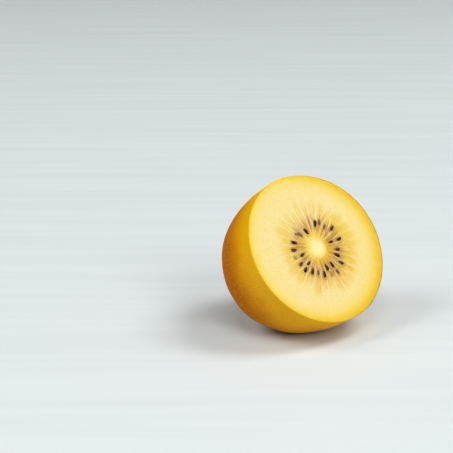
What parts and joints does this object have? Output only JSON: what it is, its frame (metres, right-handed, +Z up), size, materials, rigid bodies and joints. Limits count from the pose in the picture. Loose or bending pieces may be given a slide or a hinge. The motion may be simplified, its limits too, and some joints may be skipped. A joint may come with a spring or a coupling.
{
  "type": "golden kiwi fruit half",
  "caption": "Golden kiwi fruit half, cut across: smooth tan skin, pale yellow flesh and core, and a star of rays with dark seeds. It rests on its skin with the cut tilted up.",
  "frame": {"origin": "under the middle of the half's box, on the surface that it rests on", "axes": "+Z up. +X is level and runs along the wide way of the cut. The cut looks towards -Y and up, 34.8 degrees above level, and the stem end points towards +Y and down."},
  "size_m": [0.057, 0.047, 0.0504],
  "materials": {
    "skin": "thin satin fruit skin, golden tan with fine paler dots, yellower next to the cut and browner at the stem end",
    "flesh": "moist cut flesh, pale cream yellow, deeper yellow next to the skin and in the star of rays round the pale core",
    "seed": "wet dark brown to black seed",
    "scar": "dry corky stem scar, orange brown with darker rings"
  },
  "bodies": {
    "root": {"kiwi_half": "skin"}
  },
  "joints": []
}
